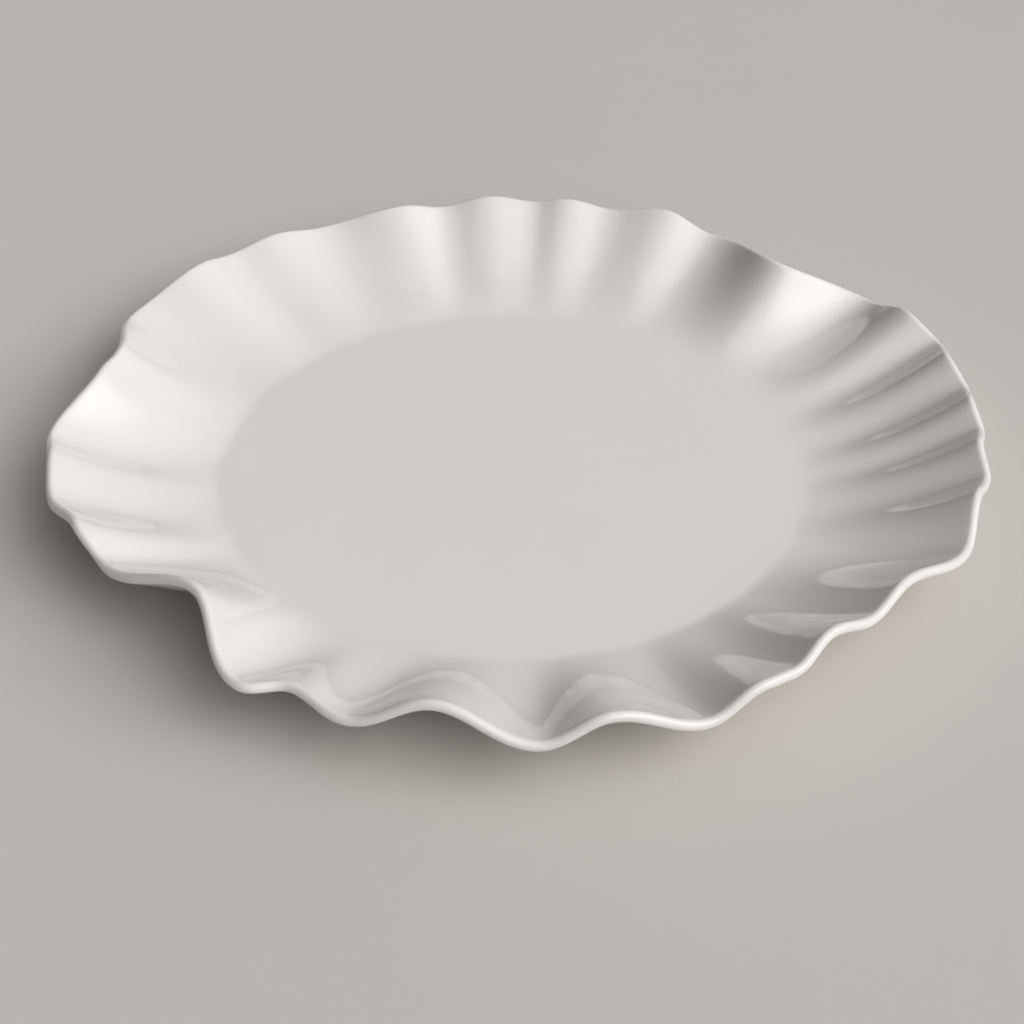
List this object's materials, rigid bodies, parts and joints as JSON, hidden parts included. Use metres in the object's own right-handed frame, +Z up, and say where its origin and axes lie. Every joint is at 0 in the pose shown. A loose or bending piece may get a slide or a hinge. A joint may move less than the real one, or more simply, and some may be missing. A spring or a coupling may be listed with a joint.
{
  "type": "ruffled serving plate",
  "caption": "Round white glazed stoneware serving plate with a flat well, a flared wall that ends in irregular hand-worked ruffles, a rounded lip and a foot ring.",
  "frame": {"origin": "centre of the ring face that the plate stands on", "axes": "+Z up through the well, -Y towards the viewer of the picture, +X to the viewer's right"},
  "size_m": [0.3558, 0.3513, 0.043],
  "materials": {
    "white_glaze": "soft-gloss white glaze, faintly warm",
    "bare_clay": "bare fired clay on the bearing face, glazed sides"
  },
  "bodies": {
    "root": {"plate_body": "white_glaze", "foot_ring": "bare_clay"}
  },
  "joints": []
}
